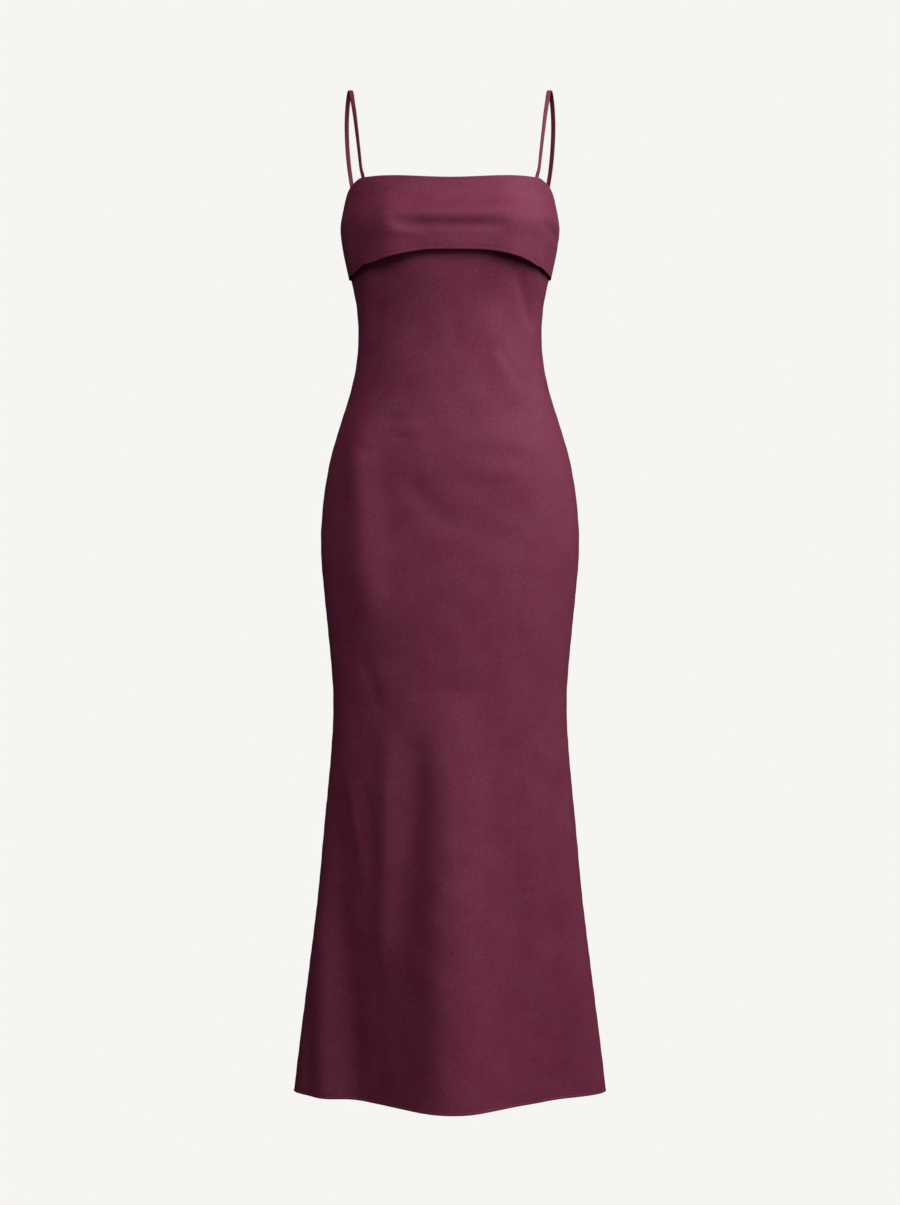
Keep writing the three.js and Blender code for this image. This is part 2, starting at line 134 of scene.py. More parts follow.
FINE_FOLDS = {
    "front": (
        Fold(-96, -459, -46, -456, 2, 6, 6, -1.4, -1.2),
        Fold(-78, -482, -47, -484, 1, 5, 5, -1.2, -1),
        Fold(-124, -485, -102, -507, 0, 5, 5, -1.2, -1),
        Fold(-61, -466, -19, -468, -2, 8, 8, 0.9, 0.7),
        Fold(8, -507, 128, -508, 3, 10, 12, -1.1, -0.9),
        Fold(20, -529, 112, -529, -2, 10, 12, 0.9, 0.8),
        Fold(-120, -765, -89, -859, 2, 8, 8, -1.8, -1.5),
        Fold(-146, -909, -115, -1096, 5, 6, 6, 1.8, 1.5),
        Fold(-125, -914, -99, -1077, 7, 6, 6, -1.3, -1.2),
        Fold(-119, -252, -126, -350, -1, 6, 6, -2.1, -2),
        Fold(-84, -263, -104, -355, 0, 7, 7, -1.5, -1.2),
        Fold(8, -292, 8, -377, -1, 8, 8, -1, -0.9),
        Fold(56, -347, 101, -424, 2, 8, 8, -1.6, -1.3),
        Fold(-28, -307, -60, -382, -3, 9, 9, -0.9, -0.7),
        Fold(109, -225, 123, -298, 0, 5, 5, 1.2, 1.1),
        Fold(-4, -619, 60, -700, 8, 16, 18, -0.9, -0.8),
        Fold(-40, -661, 24, -741, -8, 16, 16, 0.5, 0.4),
        Fold(84, -600, 120, -689, 3, 12, 12, -0.8, -0.5),
        Fold(39, -906, 44, -1119, 2, 8, 9, 1.1, 0.9),
        Fold(-3, -880, -3, -1080, 2, 7, 8, 1.2, 0.9),
        Fold(88, -951, 92, -1209, -3, 9, 10, -0.9, -0.7),
        Fold(135, -1151, 150, -1393, 4, 9, 11, -1.7, -1.7),
        Fold(-93, -1163, -84, -1405, -4, 9, 12, -1.5, -1.9),
        Fold(-191, -1150, -190, -1398, -1, 8, 10, -2, -1.9),
        Fold(30, -1229, 43, -1419, 3, 10, 14, -1.1, -1.3),
    ),
    "back": (
        Fold(-104, -404, -60, -452, -4, 7, 7, 1.4, 1.2),
        Fold(104, -398, 56, -458, 4, 7, 7, 1.4, 1.2),
        Fold(-40, -372, 44, -378, -4, 7, 7, -1.6, -1.4),
        Fold(-58, -320, 60, -326, 4, 6, 6, -1.2, -1.2),
        Fold(-108, -250, -118, -340, 2, 6, 6, -1.6, -1.4),
        Fold(112, -246, 120, -338, -2, 6, 6, -1.6, -1.4),
        Fold(-8, -460, -10, -560, 2, 9, 12, -1, -0.8),
        Fold(-100, -620, -66, -720, 4, 12, 12, -1.2, -1),
        Fold(98, -640, 60, -752, -4, 12, 13, -1.2, -1),
        Fold(-34, -940, -40, -1180, 2, 8, 9, 1.6, 1.2),
        Fold(104, -980, 112, -1240, 3, 8, 9, -1.6, -1.4),
        Fold(-112, -900, -104, -1120, -4, 8, 8, -1.6, -1.4),
        Fold(-170, -1140, -172, -1400, 2, 8, 10, -1.8, -1.6),
        Fold(176, -1120, 180, -1400, 2, 8, 10, -1.8, -1.6),
        Fold(52, -1210, 44, -1420, 2, 9, 12, 1.6, 1.8),
    ),
}

# Soft cross folds of the hanging band.

BAND_FOLDS = (
    Fold(-105, -160, 98, -167, 3, 10, 10, 0.6, 0.7),
    Fold(-82, -195, 88, -197, -7, 9, 9, -5.4, -4.9),
    Fold(-94, -206, 57, -211, 0, 10, 9, 1.8, 0.4),
    Fold(-83, -192, -20, -213, 0, 6, 6, -0.9, -1.6),
    Fold(-22, -175, 62, -173, 4, 6, 6, -1.9, -1.9),
    Fold(112, -191, 147, -221, 5, 6, 6, -3, -3.3),
    Fold(118, -177, 146, -203, 4, 5, 5, 3.2, 3.2),
    Fold(-146, -207, -124, -189, 0, 5, 5, -1.9, -2),
    Fold(119, -167, 149, -183, 1, 6, 5, -2.2, -2),
    Fold(-151, -175, -114, -152, 5, 9, 9, -3.2, -2.8),
    Fold(-40, -215, 71, -222, 2, 7, 6, -1.3, -1.1),
)

# Centre line of a strap between its tails, from the front over the shoulder to the back. turn is
# how far, in degrees, the flat of the strap has turned from facing straight ahead.

StrapPoint = namedtuple("StrapPoint", "x y z turn")
STRAP_ROUTE = (
    StrapPoint(119.6, -46.6, -117, -55),
    StrapPoint(122.4, -41.5, -93, -52),
    StrapPoint(125.6, -35.5, -66, -46),
    StrapPoint(129, -27.5, -39, -36),
    StrapPoint(132, -19.5, -20, -22),
    StrapPoint(134.4, -9, -5.5, -8),
    StrapPoint(136.6, 2, -1, 0),
    StrapPoint(139, 15, -6, 4),
    StrapPoint(141.4, 27, -20, 10),
    StrapPoint(142.8, 37, -42, 15),
    StrapPoint(142.2, 46, -70, 20),
    StrapPoint(139.6, 53.5, -100, 24),
    StrapPoint(134.2, 58.5, -132, 28),
    StrapPoint(125.2, 61.4, -166, 32),
)

# Lights: aside is the bearing in degrees from straight in front towards +X, rise the angle up,
# far, width and height are in metres and power is in watts.

SoftBox = namedtuple("SoftBox", "name aside rise far width height power")
SOFT_BOXES = (
    SoftBox("Front, left", -20, 35, 3.2, 1.2, 1.6, 26),
    SoftBox("Front", 5, 38, 3.2, 1.2, 1.6, 17),
    SoftBox("Front, low", -15, -10, 3.0, 1.2, 1.2, 5),
    SoftBox("Half right", 40, 30, 3.0, 1.4, 2.0, 18),
    SoftBox("Right", 66, 25, 2.8, 1.2, 2.2, 25),
    SoftBox("Right, high", 66, 45, 2.8, 1.2, 1.6, 35),
    SoftBox("Edge, right", 110, 15, 2.8, 1.2, 2.2, 9),
    SoftBox("Back", 178, 28, 3.2, 1.6, 1.8, 55),
)
LIT_MIDDLE_Z = -0.65

# Edges, in millimetres and degrees, as the solids have them

HEM_Z = -1366
ROWS_LEVEL_BELOW_Z = -300
NECK_CORNER_Z = -132
NECK_DIP = 6
UNDERARM_Z = -190
BACK_EDGE_Z = -192
BACK_EDGE_DIP = 7
BAND_CENTRE_Z = -234
BAND_SEAM_DROP = 26.5
BAND_LEVEL_X = 12
BAND_LEVEL_HALF = 30
BAND_WALL = 1.6
BAND_CLEARANCE = 0.72
BAND_ROLL_CENTRE = 0.3
BAND_PUFF = 1.5
BAND_STAND_OFF = 8
BAND_CORNER_X = 81
BAND_CORNER_HALF = 25
BAND_CORNER_RISE = 1.3
PANEL_WALL = 1.3
STRAP_CLEARANCE = 1.2
STRAP_TAIL = 14
NECK_CORNER_ANGLE = math.radians(56)
BACK_STRAP_ANGLE = math.radians(49)
FRONT_TAIL_TURN = -45
BACK_TAIL_TURN = 34
SEAM_ANGLE = math.pi / 2
SEAM_STILL_POWER = 14
SEAM_PART = 0.05
FOLD_END = 0.3
TURN_RADIUS = 0.55
BACK_DRIFT_ASIDE = 140

# The closed side seam: places round the back from the joint of the panels, and how far inside

SEAM_FIN_STEPS = (-1.1, 1.2, 3.9, 6.6)
SEAM_FIN_INSIDE = 1.5
SEAM_FIN_WALL = 0.7

# Studio floor in metres: each ring's radius and its height above the floor

FLOOR_Z = -2.1
FLOOR_RINGS = ((3.5, 0), (5.0, 0.0), (5.7, 0.15), (6.2, 0.5), (6.45, 1.1), (6.5, 5.0))
ROOM_GLOW = 0.02

def linear(value):
    """A colour given as sRGB hex, such as 0x6B2C42, as linear red, green and blue."""
    channels = ((value >> 16 & 255) / 255, (value >> 8 & 255) / 255, (value & 255) / 255)
    return tuple(c / 12.92 if c <= 0.04045 else ((c + 0.055) / 1.055) ** 2.4 for c in channels)


class SatinSettings(bpy.types.PropertyGroup):
    """Colours and weave of the satin."""

    shade: FloatVectorProperty(
        name="Satin", description="Main colour of the cloth", subtype="COLOR", size=3,
        min=0, max=1, default=linear(0x8A3253))
    deep: FloatVectorProperty(
        name="Satin, deep", description="Colour in the sunk threads and the hollows",
        subtype="COLOR", size=3, min=0, max=1, default=linear(0x4C192C))
    sheen: FloatVectorProperty(
        name="Sheen", description="Colour of the soft sheen across the float threads",
        subtype="COLOR", size=3, min=0, max=1, default=linear(0xC98CA4))
    thread: FloatVectorProperty(
        name="Thread", description="Colour of the sewing thread", subtype="COLOR", size=3,
        min=0, max=1, default=linear(0x7A3A52))
    rib_spacing: FloatProperty(
        name="Rib spacing", description="Distance between the slanting ribs of the weave",
        unit="LENGTH", default=1.5 * MM, min=0.2 * MM, max=5 * MM)


class SewingSettings(bpy.types.PropertyGroup):
    """Sizes of the cloth, its turned edges and its stitches."""

    cloth: FloatProperty(
        name="Cloth", description="Thickness of one layer of satin", unit="LENGTH",
        default=0.45 * MM, min=0.1 * MM, max=1 * MM)
    hem: FloatProperty(
        name="Hem", description="Depth of the narrow turned hem", unit="LENGTH",
        default=3.2 * MM, min=1 * MM, max=20 * MM)
    back_turn: FloatProperty(
        name="Back edge turning", description="Depth of the turning along the top of the back",
        unit="LENGTH", default=6 * MM, min=2 * MM, max=20 * MM)
    stitch: FloatProperty(
        name="Stitch", description="Length of one stitch", unit="LENGTH",
        default=2.6 * MM, min=1 * MM, max=6 * MM)
    thread: FloatProperty(
        name="Thread", description="Thickness of the sewing thread", unit="LENGTH",
        default=0.4 * MM, min=0.1 * MM, max=1 * MM)
    strap_width: FloatProperty(
        name="Strap width", description="Width of a shoulder strap", unit="LENGTH",
        default=6.2 * MM, min=2 * MM, max=20 * MM)
    strap_thickness: FloatProperty(
        name="Strap thickness", description="Thickness of a turned strap", unit="LENGTH",
        default=2 * MM, min=0.5 * MM, max=4 * MM)
    columns: IntProperty(
        name="Columns", description="Columns of faces across the front or the back",
        default=120, min=20, max=200)
    rows: IntProperty(
        name="Rows", description="Rows of faces down the front or the back",
        default=296, min=40, max=400)


class StageSettings(bpy.types.PropertyGroup):
    """Camera and backdrop."""

    distance: FloatProperty(
        name="Camera distance", description="From the lens to the side seams", unit="LENGTH",
        default=3, min=1, max=10)
    frame_height: FloatProperty(
        name="Height seen", description="Height that the picture shows at the side seams",
        unit="LENGTH", default=1.646, min=0.5, max=5)
    eye_height: FloatProperty(
        name="Camera height", description="Height of the lens from the tops of the straps",
        unit="LENGTH", default=-0.7, min=-2, max=1)
    backdrop: FloatVectorProperty(
        name="Backdrop", description="Colour of the floor and the backdrop", subtype="COLOR",
        size=3, min=0, max=1, default=linear(0xF6F5F1))


def section_value(name, z):
    """One column of the sections at heights z, along a smooth curve through the rows."""
    heights = np.array([row.z for row in SECTIONS], float)
    values = np.array([getattr(row, name) for row in SECTIONS], float)
    last = len(SECTIONS) - 1
    row = np.clip(np.searchsorted(-heights, -z) - 1, 0, last - 1)
    before = np.maximum(row - 1, 0)
    below = row + 1
    after = np.minimum(row + 2, last)
    span = heights[below] - heights[row]
    slope_above = (values[below] - values[before]) / (heights[below] - heights[before])
    slope_below = (values[after] - values[row]) / (heights[after] - heights[row])
    t = (z - heights[row]) / span
    return ((2 * t**3 - 3 * t**2 + 1) * values[row] + (t**3 - 2 * t**2 + t) * span * slope_above
            + (3 * t**2 - 2 * t**3) * values[below] + (t**3 - t**2) * span * slope_below)


def section_point(side, angle, z):
    """Points of the plain section curves, before any fold."""
    square = section_value("square", z)
    across = np.sin(angle)
    deep = np.cos(angle)
    reach = (np.abs(across)**square + np.abs(deep)**square)**(-1 / square)
    x = section_value("half", z) * reach * across
    y = OUT_WAY[side] * section_value(side, z) * reach * deep
    return np.stack([x, y, z + 0 * x], axis=-1)


def smooth(share):
    """Eases a share from 0 to 1."""
    share = np.clip(share, 0, 1)
    return share * share * (3 - 2 * share)


def fold_rise(fold, x, z):
    """The height of one fold at places on its panel."""
    run_x = fold.x1 - fold.x0
    run_z = fold.z1 - fold.z0
    length = math.hypot(run_x, run_z)
    along = ((x - fold.x0) * run_x + (z - fold.z0) * run_z) / length**2
    along = np.clip(along, 0, 1)
    aside = ((x - fold.x0) * run_z - (z - fold.z0) * run_x) / length
    bowed = aside + fold.bow * 4 * along * (1 - along)
    half = fold.half0 + (fold.half1 - fold.half0) * along
    rise = fold.rise0 + (fold.rise1 - fold.rise0) * along
    ends = smooth(along / FOLD_END) * smooth((1 - along) / FOLD_END)
    return rise * ends * np.exp(-(bowed / half)**2)


def folds_rise(folds, x, z):
    """The height of several folds together."""
    return sum(fold_rise(fold, x, z) for fold in folds)


def fall_rise(fall, x, z):
    """The height of the broad fall down the middle of the skirt."""
    down = np.maximum((fall.top_z - z) / (fall.top_z - HEM_Z), 0)
    ridge = fall.top_x + (fall.hem_x - fall.top_x) * down
    half = fall.top_half + (fall.hem_half - fall.top_half) * down
    return fall.rise * down * np.exp(-np.abs((x - ridge) / half)**fall.blunt)


def face_point(side, angle, z):
    """Points of a panel's face: its sections, moved out level by the folds."""
    step = 0.001
    way = OUT_WAY[side]
    point = section_point(side, angle, z)
    tangent = section_point(side, angle + step, z) - section_point(side, angle - step, z)
    tangent /= np.linalg.norm(tangent, axis=-1, keepdims=True)
    still = 1 - np.abs(np.sin(angle))**SEAM_STILL_POWER
    x = point[..., 0].copy()
    folds = folds_rise(MAIN_FOLDS[side] + FINE_FOLDS[side], x, z)
    out = (folds + fall_rise(FALLS[side], x, z)) * still
    point[..., 0] -= way * tangent[..., 1] * out
    point[..., 1] += way * tangent[..., 0] * out
    return point


def face_normal(side, angle, z):
    """Outward directions of a panel's face, straight out sideways at the side seams."""
    turn = 0.004
    drop = 1
    across = face_point(side, angle + turn, z) - face_point(side, angle - turn, z)
    up = face_point(side, angle, z + drop) - face_point(side, angle, z - drop)
    normal = np.cross(across, up) * -OUT_WAY[side]
    normal[..., 1] = np.where(np.abs(angle) > SEAM_ANGLE - turn, 0, normal[..., 1])
    return normal / np.linalg.norm(normal, axis=-1, keepdims=True)


def off_face(side, angle, z, out):
    """Points that lie a given way out from a panel's face."""
    angle, z, out = np.broadcast_arrays(angle, z, out)
    return face_point(side, angle, z) + face_normal(side, angle, z) * out[..., None]


def front_edge(angle):
    """The top edge of the front: a shallow dip between the straps, then down the armhole."""
    beyond = (np.abs(angle) - NECK_CORNER_ANGLE) / (SEAM_ANGLE - NECK_CORNER_ANGLE)
    inwards = np.cos(np.clip(SEAM_ANGLE * angle / NECK_CORNER_ANGLE, -SEAM_ANGLE, SEAM_ANGLE))
    beyond = np.maximum(beyond, 0)
    drop = (NECK_CORNER_Z - UNDERARM_Z) * (0.42 * beyond + 0.58 * beyond**3)
    return NECK_CORNER_Z - NECK_DIP * inwards**3 - drop


def back_edge(angle):
    """The top edge of the back: nearly straight across at the height of the underarm."""
    dip = np.cos(angle)**2 * BACK_EDGE_DIP
    return BACK_EDGE_Z - dip + np.sin(angle)**8 * (UNDERARM_Z - BACK_EDGE_Z)


def band_edge(angle):
    """The free lower edge of the band: level across the front, lower at the side seams."""
    x = section_point("front", angle, BAND_CENTRE_Z + 0 * angle)[..., 0]
    seam_x = section_value("half", np.array(float(BAND_CENTRE_Z)))
    seam_way = seam_x - np.sign(x) * BAND_LEVEL_X - BAND_LEVEL_HALF
    beyond = np.maximum(0, (np.abs(x - BAND_LEVEL_X) - BAND_LEVEL_HALF) / seam_way)
    return BAND_CENTRE_Z - BAND_SEAM_DROP * beyond**1.75


def band_stand_off(angle, down, x, z):
    """How far the band hangs clear of the front, at a share of the way down it."""
    middle = np.clip(np.cos(angle), 0, 1)**0.9
    corner = np.exp(-((np.abs(x) - BAND_CORNER_X) / BAND_CORNER_HALF)**2)
    middle = middle * (1 + BAND_CORNER_RISE * corner)
    share = np.clip(down, 0, 1)
    puff = BAND_PUFF * np.sin(math.pi * share)**0.8
    hang = BAND_STAND_OFF * share**1.4
    folds = folds_rise(BAND_FOLDS, x, z) * np.sin(math.pi * share)
    return middle * np.maximum(0, puff + hang + folds)


def piece_from_grid(name, columns, rows, place):
    """Adds a grid primitive and lays its points out over a sheet of cloth. place is called once
    and answers with the places of all the points, by row and column, in millimetres."""
    bpy.ops.object.select_all(action="DESELECT")
    bpy.ops.mesh.primitive_grid_add(x_subdivisions=columns, y_subdivisions=rows, size=1)
    piece = bpy.context.object
    piece.name = piece.data.name = name
    mesh = piece.data
    flat = np.empty(len(mesh.vertices) * 3)
    mesh.vertices.foreach_get("co", flat)
    flat = flat.reshape(-1, 3)
    column = np.rint((flat[:, 0] + 0.5) * columns).astype(int)
    row = np.rint((flat[:, 1] + 0.5) * rows).astype(int)
    grid = np.empty((rows + 1, columns + 1, 3))
    grid[:] = place()
    mesh.vertices.foreach_set("co", (grid[row, column] * MM).ravel())
    lay_out_uv(mesh, grid, column, row)
    mesh.update()
    return piece


def lay_out_uv(mesh, grid, column, row):
    """Gives the sheet a UV map in metres of cloth, measured along its rows and columns."""
    across = np.linalg.norm(np.diff(grid, axis=1), axis=2)
    down = np.linalg.norm(np.diff(grid, axis=0), axis=2)
    u = np.concatenate([np.zeros((len(grid), 1)), np.cumsum(across, axis=1)], axis=1)
    u -= u[:, -1:] / 2
    middle = down[:, down.shape[1] // 2]
    v = np.concatenate([[0], np.cumsum(middle)])[:, None] + 0 * u
    loops = np.empty(len(mesh.loops), int)
    mesh.loops.foreach_get("vertex_index", loops)
    uv = np.stack([u[row, column], v[row, column]], axis=-1)[loops] * MM
    mesh.uv_layers.active.data.foreach_set("uv", uv.ravel())
    mesh.uv_layers.active.name = "cloth"


def finish_sheet(piece, thickness):
    """Gives a sheet its thickness on the inner side and smooth shading."""
    solid = piece.modifiers.new("Thickness", "SOLIDIFY")
    solid.thickness = thickness
    solid.offset = -1
    solid.use_even_offset = False
    bpy.context.view_layer.objects.active = piece
    piece.select_set(True)
    bpy.ops.object.modifier_apply(modifier=solid.name)
    bpy.ops.object.shade_smooth()
    piece.select_set(False)


def seam_angles(side, columns):
    """Angles from one side seam to the other, with close columns beside each seam."""
    edge = np.array([0, 0.12, 0.24, 0.42, 0.7])
    inner = np.linspace(1.2, columns - 1.2, columns - 9)
    share = np.concatenate([edge, inner, columns - edge[::-1]]) / columns
    assert len(share) == columns + 1
    return OUT_WAY[side] * (SEAM_ANGLE - math.pi * share)


def turning(depth, radius):
    """A turned-in edge as steps in from the face and up from the edge, from the raw end inside,
    round the fold, to the face."""
    inside = [(2 * radius, depth), (2 * radius, (depth + radius) / 2)]
    fold = [(radius + radius * math.cos(a), radius - radius * math.sin(a))
            for a in np.linspace(0, math.pi, 7)]
    return np.array(inside + fold)


def seam_tuck(side, angle, z):
    """How far a panel's face sinks beside its side seams, with the seam's slight pucker."""
    aside = (SEAM_ANGLE - np.abs(angle)) * section_value(side, z)
    pucker = 0.22 * np.sin(z / 4.1 + 2 * np.sin(z / 37)) + 0.16 * np.sin(z / 7.7 + 1.3)
    return 1.1 * np.exp(-(aside / 1.3)**2) + pucker * np.exp(-aside / 9) * (1 - np.exp(-aside / 2))


def drift(x, z):
    """The faint unevenness of cloth hung on the bias."""
    slant = x + 0.9 * z
    cross = x - 0.7 * z
    return (0.30 * np.sin(slant / 23 + np.sin(z / 61)) + 0.22 * np.sin(cross / 31 + 0.7)
            + 0.16 * np.sin(slant / 11.3 + 1.9 * np.sin(cross / 47)))


def panel_drift(side, angle, z):
    """The drift of one panel, still beside its side seams and different on the back."""
    x = section_point(side, angle, z)[..., 0]
    still = 1 - np.abs(np.sin(angle))**SEAM_STILL_POWER
    return drift(x if side == "front" else x + BACK_DRIFT_ASIDE, z) * still


def hem_relief(up, depth):
    """The turned hem shows as a low step with a stitched groove, at a distance up from it."""
    step = 0.35 * (1 - smooth((up - depth + 0.5) / 1.1))
    return step - 0.3 * np.exp(-((up - depth) / 0.4)**2)


def sheet_uses(piece, node):
    """A piece rides on the dress and stands for its solid, which it hides."""
    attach(piece, BODY)
    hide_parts(node)


def make_panel(side, name):
    """The front or the back: one sheet from hem to top edge, with its turned hem."""
    sewing = bpy.context.scene.dress_sewing
    columns = sewing.columns
    angle = seam_angles(side, columns)
    hem = turning(sewing.hem / MM, TURN_RADIUS)
    near_hem = np.array([1.1, 1.8, 2.4, 2.8, 3.2, 3.6, 4.0, 4.6, 5.6])
    edge = front_edge(angle) if side == "front" else back_edge(angle)
    top = np.empty((0, 2))
    near_top = np.array([2.0, 0.6])
    if side == "back":
        top = turning(sewing.back_turn / MM, TURN_RADIUS)[::-1]
        near_top = np.array([9, 7.4, 6.8, 6.4, 6.0, 5.6, 5.2, 4.4, 2.5, 1.1])
    body_rows = sewing.rows - len(hem) - len(near_hem) - len(near_top) - len(top) + 1
    low_rows = round(body_rows * 0.87)
    level = np.linspace(HEM_Z + 7.5, ROWS_LEVEL_BELOW_Z, low_rows, endpoint=False)[:, None]
    share = np.linspace(0, 1, body_rows - low_rows)[:, None]
    upper = ROWS_LEVEL_BELOW_Z + (edge - near_top[0] - 3 - ROWS_LEVEL_BELOW_Z) * share
    flat = np.zeros(columns + 1)
    z = np.concatenate([
        HEM_Z + hem[:, 1:] + flat, HEM_Z + near_hem[:, None] + flat, level + flat, upper,
        edge - near_top[:, None], edge - top[:, 1:]])
    sunk = np.concatenate([
        hem[:, 0], np.zeros(len(z) - len(hem) - len(top)), top[:, 0]])[:, None]
    out = -sunk + hem_relief(z - HEM_Z, sewing.hem / MM) - seam_tuck(side, angle, z)
    if side == "back":
        out = out + hem_relief(edge - z, sewing.back_turn / MM)
    out = out + panel_drift(side, angle + 0 * z, z)

    def place():
        points = off_face(side, angle + 0 * z, z, out)
        points[..., 1] += OUT_WAY[side] * SEAM_PART
        return points

    piece = piece_from_grid(name, columns, sewing.rows, place)
    finish_sheet(piece, sewing.cloth)
    piece.data.materials.append(satin("Satin back crepe, cut on the bias"))
    sheet_uses(piece, f"{side}_panel")
    return piece


def make_band_sheet(name):
    """The doubled band: down inside, round its free lower edge, up the outside, over the
    neckline and a little way down behind it."""
    sewing = bpy.context.scene.dress_sewing
    columns = sewing.columns
    angle = seam_angles("front", columns)
    edge = front_edge(angle)
    roll_z = edge - BAND_ROLL_CENTRE
    low = band_edge(angle)
    half_wall = BAND_WALL / 2
    inner_down = np.linspace(0.06, 1, 20)[:, None]
    fold_turn = np.linspace(0, math.pi, 7)[1:-1, None]
    outer_down = 1 - np.concatenate([
        [0, 0.008, 0.016, 0.022, 0.028, 0.034, 0.041], np.linspace(0.052, 0.955, 43),
        [0.965, 0.972, 0.98, 0.99, 1]])[:, None]
    over_turn = np.linspace(0, math.pi, 9)[1:, None]
    behind_down = np.array([1.5, 3.5, 5.5, 7])[:, None]
    drop = roll_z - low - half_wall

    def stand(down):
        z = roll_z - drop * down
        x = section_point("front", angle + 0 * z, z)[..., 0]
        return BAND_CLEARANCE + band_stand_off(angle + 0 * z, down, x, z)

    outer = stand(outer_down) + BAND_WALL
    fold = stand(1 + 0 * fold_turn) + half_wall - half_wall * np.cos(fold_turn)
    top_radius = (BAND_CLEARANCE + BAND_WALL + PANEL_WALL) / 2
    top_out = BAND_CLEARANCE + BAND_WALL - top_radius
    below_top = outer_down * drop
    relief = -0.55 * np.exp(-((below_top - 2.9) / 0.65)**2) - 0.25 * np.exp(
        -((drop - below_top - 3.4) / 0.6)**2)
    out = np.concatenate([
        stand(inner_down) + 0 * angle, fold + 0 * angle, outer + relief,
        top_out + top_radius * np.cos(over_turn) + 0 * angle,
        -PANEL_WALL + 0 * behind_down + 0 * angle])
    z = np.concatenate([
        roll_z - drop * inner_down, low + half_wall - half_wall * np.sin(fold_turn),
        roll_z - drop * outer_down, roll_z + top_radius * np.sin(over_turn),
        roll_z - behind_down])
    out = out - 0.8 * np.exp(-((SEAM_ANGLE - np.abs(angle)) * 90 / 1.3)**2)

    def place():
        points = off_face("front", angle + 0 * z, z, out)
        points[..., 1] -= SEAM_PART
        return points

    piece = piece_from_grid(name, columns, len(z) - 1, place)
    finish_sheet(piece, sewing.cloth)
    piece.data.materials.append(satin("Satin back crepe, folded double"))
    sheet_uses(piece, "bust_band")
    return piece


def strap_line(hand):
    """Points and turns along a strap's centre line, tails included."""
    inwards = -(PANEL_WALL + STRAP_CLEARANCE + 1)
    front_top = NECK_CORNER_Z + BAND_WALL + 2
    back_top = BACK_EDGE_Z + 1
    rows = []
    for z in (front_top - STRAP_TAIL, front_top):
        point = off_face("front", np.array(NECK_CORNER_ANGLE), np.array(float(z)), inwards)
        rows.append((*point, FRONT_TAIL_TURN))
    rows.extend(STRAP_ROUTE)
    for z in (back_top, back_top - STRAP_TAIL):
        point = off_face("back", np.array(BACK_STRAP_ANGLE), np.array(float(z)), inwards)
        rows.append((*point, BACK_TAIL_TURN))
    rows = np.array(rows, float)
    rows[:, 0] = hand * np.abs(rows[:, 0])
    return rows


def smooth_line(rows, steps):
    """Even steps along a smooth curve through the rows, by their distance apart."""
    way = np.concatenate([[0], np.cumsum(np.linalg.norm(np.diff(rows[:, :3], axis=0), axis=1))])
    before = np.maximum(np.arange(len(rows)) - 1, 0)
    after = np.minimum(np.arange(len(rows)) + 1, len(rows) - 1)
    slope = (rows[after] - rows[before]) / (way[after] - way[before])[:, None]
    at = np.linspace(0, way[-1], steps + 1)
    row = np.clip(np.searchsorted(way, at) - 1, 0, len(rows) - 2)
    span = (way[row + 1] - way[row])[:, None]
    t = ((at - way[row])[:, None]) / span
    return ((2 * t**3 - 3 * t**2 + 1) * rows[row] + (t**3 - 2 * t**2 + t) * span * slope[row]
            + (3 * t**2 - 2 * t**3) * rows[row + 1] + (t**3 - t**2) * span * slope[row + 1])


def make_strap(hand, name, node):
    """A turned strap: a flat tube with soft edges, swept along its line."""
    sewing = bpy.context.scene.dress_sewing
    around = 20
    steps = 170
    line = smooth_line(strap_line(hand), steps)
    points = line[:, :3]
    tangent = np.gradient(points, axis=0)
    tangent /= np.linalg.norm(tangent, axis=1, keepdims=True)
    turn = np.radians(line[:, 3])
    width = np.stack([-hand * np.cos(turn), np.sin(turn), 0 * turn], axis=1)
    width -= tangent * np.sum(width * tangent, axis=1, keepdims=True)
    width /= np.linalg.norm(width, axis=1, keepdims=True)
    depth = np.cross(tangent, width)
    a = np.linspace(0, 2 * math.pi, around + 1)
    wide = np.sign(np.cos(a)) * np.abs(np.cos(a))**0.75 * sewing.strap_width / MM / 2
    thick = np.sign(np.sin(a)) * np.abs(np.sin(a))**0.6 * sewing.strap_thickness / MM / 2
    plump = 1 + 0.05 * np.sin(np.linspace(0, 41, steps + 1))[:, None]

    def place():
        return (points[:, None] + width[:, None] * wide[None, :, None]
                + depth[:, None] * (thick[None, :] * plump)[..., None])

    piece = piece_from_grid(name, around, steps, place)
    bpy.context.view_layer.objects.active = piece
    piece.select_set(True)
    bpy.ops.object.mode_set(mode="EDIT")
    bpy.ops.mesh.select_all(action="SELECT")
    bpy.ops.mesh.remove_doubles(threshold=0.02 * MM)
    bpy.ops.mesh.fill_holes(sides=0)
    bpy.ops.mesh.normals_make_consistent(inside=False)
    bpy.ops.object.mode_set(mode="OBJECT")
    bpy.ops.object.shade_smooth()
    piece.select_set(False)
    piece.data.materials.append(satin("Satin back crepe, turned strap"))
    sheet_uses(piece, node)
    return piece


def add_node(nodes, links, kind, settings=None, **inputs):
    """Adds a node, sets its own settings, and fills or links its inputs by name."""
    node = nodes.new(kind)
    for name, value in (settings or {}).items():
        setattr(node, name, value)
    for name, value in inputs.items():
        key = int(name[1:]) if name[0] == "i" and name[1:].isdigit() else name.replace("_", " ")
        if isinstance(value, bpy.types.NodeSocket):
            links.new(value, node.inputs[key])
        else:
            node.inputs[key].default_value = value
    return node


def colour(value):
    """A colour as a shader takes it, fully opaque."""
    return (*value, 1)


